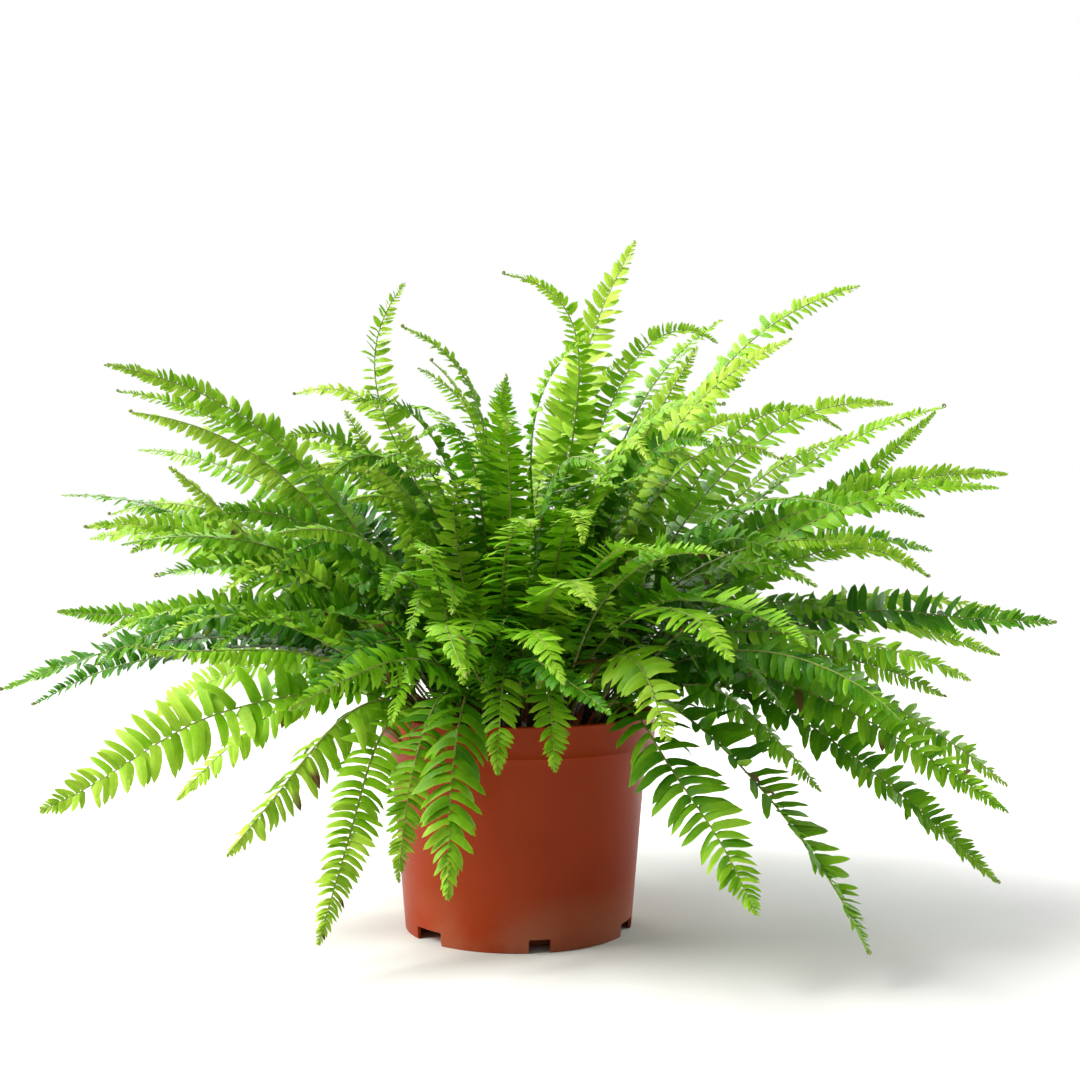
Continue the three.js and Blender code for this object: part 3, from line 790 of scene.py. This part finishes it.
def leaf_material():
    n = Nodes("fern_leaf")
    across, run = n.attribute("across"), n.attribute("run")
    patches = n.noise(45, detail=4)
    speckle = n.noise(420, detail=2)
    tone = n.math("ADD", n.attribute("tone"), n.span(patches, 0.3, 0.7, -0.10, 0.10))
    tone = n.math("ADD", tone, n.span(speckle, 0.3, 0.7, -0.035, 0.035))
    tone = n.math("ADD", tone, n.span(across, 0.55, 1.0, 0.0, 0.10))
    base = n.ramp(tone, [
        (0.00, (0.003, 0.048, 0.002)),
        (0.20, (0.013, 0.125, 0.003)),
        (0.42, (0.080, 0.300, 0.004)),
        (0.66, (0.270, 0.580, 0.010)),
        (1.00, (0.600, 0.820, 0.080)),
    ])
    midvein = n.span(across, 0.04, 0.18, 0.28, 0.0, smooth=True)
    base = n.mix(midvein, base, (0.22, 0.42, 0.05))
    dry = n.span(n.math("ADD", n.attribute("dry"), n.span(patches, 0.3, 0.7, -0.2, 0.2)), 0.3, 0.7)
    base = n.mix(dry, base, (0.19, 0.115, 0.030))
    # Side veins run out from the midvein at a slant, a little over a millimetre apart
    slant = n.math("SUBTRACT", n.math("MULTIPLY", run, 0.8), n.math("MULTIPLY", across, 1.7))
    veins = n.math("SINE", n.math("MULTIPLY", slant, 2 * math.pi))
    height = n.math("ADD", n.math("MULTIPLY", veins, 0.5), n.math("MULTIPLY", speckle, 0.7))
    normal = n.bump(height, 0.28, 0.0003)
    rough = n.span(patches, 0.3, 0.7, 0.34, 0.48)
    front = n.principled(Base_Color=base, Roughness=rough, Normal=normal, Specular_IOR_Level=0.3)
    glow = n.mix(n.math("MULTIPLY", dry, 0.9), n.mix(0.5, base, (0.34, 0.66, 0.010)), base)
    through = n.new("ShaderNodeBsdfTranslucent")
    n.link(glow, through.inputs["Color"])
    n.link(normal, through.inputs["Normal"])
    both = n.new("ShaderNodeMixShader")
    both.inputs["Fac"].default_value = 0.38
    n.link(front, both.inputs[1])
    n.link(through.outputs["BSDF"], both.inputs[2])
    return n.finish(both.outputs["Shader"])


def rib_material():
    n = Nodes("fern_rib")
    streaks = n.noise(160, detail=3)
    tone = n.math("ADD", n.attribute("tone"), n.span(streaks, 0.3, 0.7, -0.12, 0.12))
    base = n.ramp(tone, [
        (0.00, (0.030, 0.014, 0.007)),
        (0.30, (0.110, 0.062, 0.022)),
        (0.60, (0.150, 0.190, 0.030)),
        (1.00, (0.330, 0.440, 0.070)),
    ])
    normal = n.bump(n.noise(900, detail=2), 0.4, 0.0002)
    return n.finish(n.principled(Base_Color=base, Roughness=0.5, Normal=normal))


leaf = leaf_material()
rib = rib_material()

crowns = plant_fronds()
for index, crown in enumerate(crowns):
    sheet = Sheet()
    for frond in crown["fronds"]:
        dress_frond(sheet, frond)
    piece = sheet.build(f"fine_fronds_{index + 1:02d}", [leaf, rib])
    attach(piece, "root")
    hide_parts(f"fronds_{index + 1:02d}")


# Pot
def pot_profile():
    """The pot's cut, anticlockwise from under the disc's middle, as (radius, height)."""
    floor_top = CHANNEL_HEIGHT + WALL
    profile = [(0, 0), (DISC_RADIUS - 1.2, 0), (DISC_RADIUS - 0.3, 0.3), (DISC_RADIUS, 1.1)]
    profile += [(DISC_RADIUS + CHANNEL_SLOPE, CHANNEL_HEIGHT)]
    inner = body_radius(CHANNEL_HEIGHT) - WALL
    profile += [(inner, CHANNEL_HEIGHT), (FOOT_RADIUS - WALL, 0.5), (FOOT_RADIUS - WALL + 0.5, 0)]
    profile += [(FOOT_RADIUS - 0.9, 0), (FOOT_RADIUS - 0.2, 0.25), (body_radius(1.2), 1.2)]
    low, high = NOTCH_HEIGHT, BODY_TOP_HEIGHT
    for z in (low, 20, 48, 76, 104, 132, high - 6, high - 1):
        profile.append((body_radius(z), z))
    # The band's lower edge stands out over the body, with a fine bead
    edge = RIM_RADIUS - 1.2
    profile += [(BODY_TOP_RADIUS + 0.5, high + 0.2), (edge - 1.4, high + 0.9)]
    profile += [(edge - 0.2, high + 0.6), (edge + 0.3, high + 1.2), (edge + 0.2, high + 2.0)]
    profile += [(edge - 0.1, high + 2.8), (edge + 0.2, high + 9), (edge + 0.7, POT_HEIGHT - 4.2)]
    # The rim's rounded lip
    for step in range(7):
        turn = math.radians(-30 + 210 * step / 6)
        middle = (RIM_RADIUS - 1.5, POT_HEIGHT - 1.5)
        profile.append((middle[0] + 1.5 * math.cos(turn), middle[1] + 1.5 * math.sin(turn)))
    profile += [(RIM_RADIUS - WALL - 1, high + 5)]
    profile += [(BODY_TOP_RADIUS - WALL + 0.6, high + WALL + 0.8)]
    profile += [(BODY_TOP_RADIUS - WALL, high + WALL - 1), (body_radius(120) - WALL, 120)]
    profile += [(body_radius(floor_top + 2) - WALL, floor_top + 2), (inner - 2, floor_top)]
    profile += [(DISC_RADIUS + CHANNEL_SLOPE, floor_top), (DISC_RADIUS - 1, WALL), (0, WALL)]
    return profile


def notch_half_angle(index):
    return math.degrees(NOTCH_WIDTHS[index % len(NOTCH_WIDTHS)] / 2 / FOOT_RADIUS)


def notch_lift(angle):
    """How high the foot is cut at an angle, with small fillets in the notch's corners."""
    step = 360 / NOTCH_COUNT
    index, off = divmod(angle - FIRST_NOTCH_ANGLE + step / 2, step)
    half = notch_half_angle(int(index))
    off = abs(off - step / 2)
    inside = (half - off) * math.radians(1) * FOOT_RADIUS
    if inside <= 0:
        return 0
    if inside < 0.35:
        return NOTCH_HEIGHT - 1.6
    if inside < 1.6:
        return NOTCH_HEIGHT - 1.6 * (1 - (inside - 0.35) / 1.25) ** 2
    return NOTCH_HEIGHT


POT_COLUMNS = 180
# The tool that cuts a drain hole
DRAIN_MIDDLE = 13
DRAIN_DEPTH = 8


def build_pot(material):
    profile = pot_profile()
    angles = [360 * i / POT_COLUMNS for i in range(POT_COLUMNS)]
    for i in range(NOTCH_COUNT):
        middle = FIRST_NOTCH_ANGLE + 360 / NOTCH_COUNT * i
        half = notch_half_angle(i)
        for edge in (-1, 1):
            for inside in (0, 0.01, 0.35, 0.7, 1.1, 1.6):
                angles.append((middle + edge * (half - math.degrees(inside / FOOT_RADIUS))) % 360)
    angles = sorted(set(round(angle, 5) for angle in angles))
    bm = bmesh.new()
    rings = []
    for angle in angles:
        lift = notch_lift(angle)
        c, s = math.cos(math.radians(angle)), math.sin(math.radians(angle))
        column = []
        for r, z in profile:
            on_foot = r > FOOT_RADIUS - WALL - 0.6 and z < lift
            height = lift if on_foot else z
            column.append(bm.verts.new((r * c * MM, r * s * MM, height * MM)))
        rings.append(column)
    for a, b in zip(rings, rings[1:] + rings[:1]):
        for k in range(len(profile) - 1):
            bm.faces.new((a[k], b[k], b[k + 1], a[k + 1]))
    bmesh.ops.remove_doubles(bm, verts=bm.verts, dist=2e-6)
    bmesh.ops.dissolve_degenerate(bm, edges=bm.edges, dist=1e-6)
    bmesh.ops.recalc_face_normals(bm, faces=bm.faces)
    mesh = bpy.data.meshes.new("fine_pot")
    bm.to_mesh(mesh)
    bm.free()
    pot = bpy.data.objects.new("fine_pot", mesh)
    scene.collection.objects.link(pot)

    # Drain holes through the raised channel
    cutter = bmesh.new()
    for i in range(NOTCH_COUNT):
        turn = math.radians(FIRST_NOTCH_ANGLE + 360 / NOTCH_COUNT * (i + 0.5))
        r = DISC_RADIUS + 2 * DRAIN_RADIUS
        x, y = r * math.cos(turn), r * math.sin(turn)
        place = Matrix.Translation((x * MM, y * MM, DRAIN_MIDDLE * MM))
        bmesh.ops.create_cone(cutter, cap_ends=True, segments=32, radius1=DRAIN_RADIUS * MM,
                              radius2=DRAIN_RADIUS * MM, depth=DRAIN_DEPTH * MM, matrix=place)
    tool_mesh = bpy.data.meshes.new("drains")
    cutter.to_mesh(tool_mesh)
    cutter.free()
    tool = bpy.data.objects.new("drains", tool_mesh)
    scene.collection.objects.link(tool)
    cut = pot.modifiers.new("drains", "BOOLEAN")
    cut.operation, cut.solver, cut.object = "DIFFERENCE", "EXACT", tool
    done = bpy.data.meshes.new_from_object(pot.evaluated_get(bpy.context.evaluated_depsgraph_get()))
    pot.modifiers.clear()
    pot.data = done
    bpy.data.objects.remove(tool)
    done.shade_smooth()
    done.set_sharp_from_angle(angle=math.radians(40))
    done.materials.clear()
    done.materials.append(material)
    return pot


def pot_material():
    n = Nodes("moulded_terracotta_plastic")
    place = n.place()
    split = n.new("ShaderNodeSeparateXYZ")
    n.link(place, split.inputs[0])
    height = split.outputs["Z"]
    clouds = n.noise(9, detail=5, place=place)
    grain = n.noise(1600, detail=2, place=place)
    base = n.mix(n.span(clouds, 0.3, 0.7), (0.285, 0.031, 0.003), (0.235, 0.025, 0.002))
    # Faint rings, as a mould leaves them, and a little dust towards the foot
    rings = n.math("SINE", n.math("MULTIPLY", height, 2600))
    rings = n.math("MULTIPLY", rings, n.span(n.noise(30, place=place), 0.35, 0.65))
    base = n.mix(n.span(rings, -1, 1, 0.0, 0.10), base, (0.37, 0.062, 0.010))
    dust = n.math("MULTIPLY", n.span(height, 0.0, 0.05, 0.35, 0.0), n.span(clouds, 0.4, 0.6))
    base = n.mix(dust, base, (0.42, 0.24, 0.14))
    bump = n.math("ADD", n.math("MULTIPLY", rings, 0.35), grain)
    normal = n.bump(bump, 0.12, 0.0003)
    rough = n.span(clouds, 0.3, 0.7, 0.36, 0.46)
    return n.finish(n.principled(Base_Color=base, Roughness=rough, Normal=normal,
                                 Specular_IOR_Level=0.12))


pot = build_pot(pot_material())
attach(pot, "root")
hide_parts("pot")


# Soil
def soil_material():
    n = Nodes("potting_soil")
    lumps = n.noise(70, detail=6, roughness=0.65)
    base = n.ramp(n.math("ADD", lumps, n.math("MULTIPLY", n.attribute("tone"), 0.5)), [
        (0.25, (0.008, 0.005, 0.003)),
        (0.55, (0.030, 0.018, 0.010)),
        (0.90, (0.085, 0.050, 0.026)),
    ])
    normal = n.bump(n.noise(600, detail=4), 0.8, 0.0008)
    return n.finish(n.principled(Base_Color=base, Roughness=0.92, Normal=normal))


CRUMB_COUNT = 900


def build_soil(material):
    sheet = Sheet()
    around, rings = 120, 34
    turn = np.linspace(0, 2 * math.pi, around, endpoint=False)
    radius = np.linspace(0, 1, rings + 1)[1:]
    rows = []
    for share in radius:
        r = share * (SOIL_RADIUS - 0.3)
        for angle in turn:
            x, y = r * math.cos(angle), r * math.sin(angle)
            lump = 3.0 * noise.fractal(Vector((x, y, 3)) / 14, 0.8, 2.1, 5)
            lump = min(max(lump, -3.5), 3.2) * (1 - 0.5 * share**6)
            rows.append((x, y, soil_top(r) + lump - 0.6))
    low = CHANNEL_HEIGHT + WALL + GAP
    wall_low = body_radius(low) - WALL - GAP
    for r, z in ((wall_low, low), (DISC_RADIUS - GAP, low)):
        rows += [(r * math.cos(a), r * math.sin(a), z) for a in turn]
    top, bottom = len(rows), len(rows) + 1
    rows += [(0, 0, soil_top(0)), (0, 0, low)]
    i = np.arange(rings + 1)[:, None] * around
    k = np.arange(around)[None]
    after = (k + 1) % around
    quads = np.stack([i + k, i + around + k, i + around + after, i + after], axis=2).reshape(-1, 4)
    cap = np.stack([np.full(around, top), k[0], after[0]], axis=1)
    last = (rings + 1) * around
    under = np.stack([np.full(around, bottom), last + after[0], last + k[0]], axis=1)
    sheet.add(rows, [quads, cap, under], 0, 0.3)

    # Crumbs of peat and bark on top
    ball = bmesh.new()
    bmesh.ops.create_icosphere(ball, subdivisions=1, radius=1)
    shape = np.array([v.co for v in ball.verts])
    tris = np.array([[v.index for v in f.verts] for f in ball.faces])
    ball.free()
    for _ in range(CRUMB_COUNT):
        r = (SOIL_RADIUS - 4) * math.sqrt(rng.random())
        angle = rng.uniform(0, 2 * math.pi)
        size = rng.uniform(0.8, 2.6) * np.array([1, rng.uniform(0.5, 1), rng.uniform(0.35, 0.8)])
        turned = Matrix.Rotation(rng.uniform(0, 2 * math.pi), 3, Vector(rng.normal(0, 1, 3)))
        points = shape * size * rng.uniform(0.7, 1.3, (len(shape), 1))
        points = points @ np.array(turned).T
        x, y = r * math.cos(angle), r * math.sin(angle)
        points += (x, y, soil_top(r) + rng.uniform(-0.5, 1.8))
        sheet.add(points, [tris], 0, rng.random())
    return sheet.build("fine_soil", [material], sharp_angle=80)


soil = build_soil(soil_material())
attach(soil, "root")
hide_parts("soil")

# Floor, light and sky
floor_mesh = bpy.data.meshes.new("floor")
floor_mesh.from_pydata([(-6, -4, 0), (6, -4, 0), (6, 8, 0), (-6, 8, 0)], [], [(0, 1, 2, 3)])
floor = bpy.data.objects.new("floor", floor_mesh)
scene.collection.objects.link(floor)
floor_look = Nodes("pale_floor")
floor_mesh.materials.append(floor_look.finish(floor_look.principled(
    Base_Color=colour(0.72, 0.72, 0.72), Roughness=0.8, Specular_IOR_Level=0.2)))

# The sky lights the plant softly, and is white where the camera sees it
SKY_LIGHT = 0.32
SKY_SEEN = 1.0
world = bpy.data.worlds.new("studio")
world.use_nodes = True
sky = world.node_tree.nodes["Background"]
rays = world.node_tree.nodes.new("ShaderNodeLightPath")
strength = world.node_tree.nodes.new("ShaderNodeMapRange")
strength.inputs["To Min"].default_value = SKY_LIGHT
strength.inputs["To Max"].default_value = SKY_SEEN
world.node_tree.links.new(rays.outputs["Is Camera Ray"], strength.inputs["Value"])
world.node_tree.links.new(strength.outputs["Result"], sky.inputs["Strength"])
sky.inputs["Color"].default_value = (1, 1, 1, 1)
scene.world = world
scene.view_settings.view_transform = "Standard"


def softbox(name, place, target, size, power, tint=(1, 1, 1)):
    data = bpy.data.lights.new(name, "AREA")
    data.shape = "RECTANGLE"
    data.size, data.size_y = size
    data.energy = power
    data.color = tint
    light = bpy.data.objects.new(name, data)
    light.location = place
    light.rotation_euler = (Vector(target) - Vector(place)).to_track_quat("-Z", "Y").to_euler()
    scene.collection.objects.link(light)


SUN_POWER = 5.2
SUN_ANGLE = 30
SUN_TINT = (1, 0.985, 0.95)
SUN_WAY = (1.0, 0.24, -1.1)
sun_data = bpy.data.lights.new("sun", "SUN")
sun_data.energy = SUN_POWER
sun_data.angle = math.radians(SUN_ANGLE)
sun_data.color = SUN_TINT
sun = bpy.data.objects.new("sun", sun_data)
sun.rotation_euler = Vector(SUN_WAY).to_track_quat("-Z", "Y").to_euler()
scene.collection.objects.link(sun)
softbox("back_right", (1.7, 1.1, 0.9), (0.1, 0, 0.3), (0.9, 1.4), 26)
softbox("left", (-1.7, -0.6, 0.35), (0, 0, 0.15), (0.7, 0.9), 17, (1, 0.88, 0.72))
softbox("back_top", (-0.7, 1.5, 1.7), (0, 0, 0.4), (1.2, 0.8), 30)
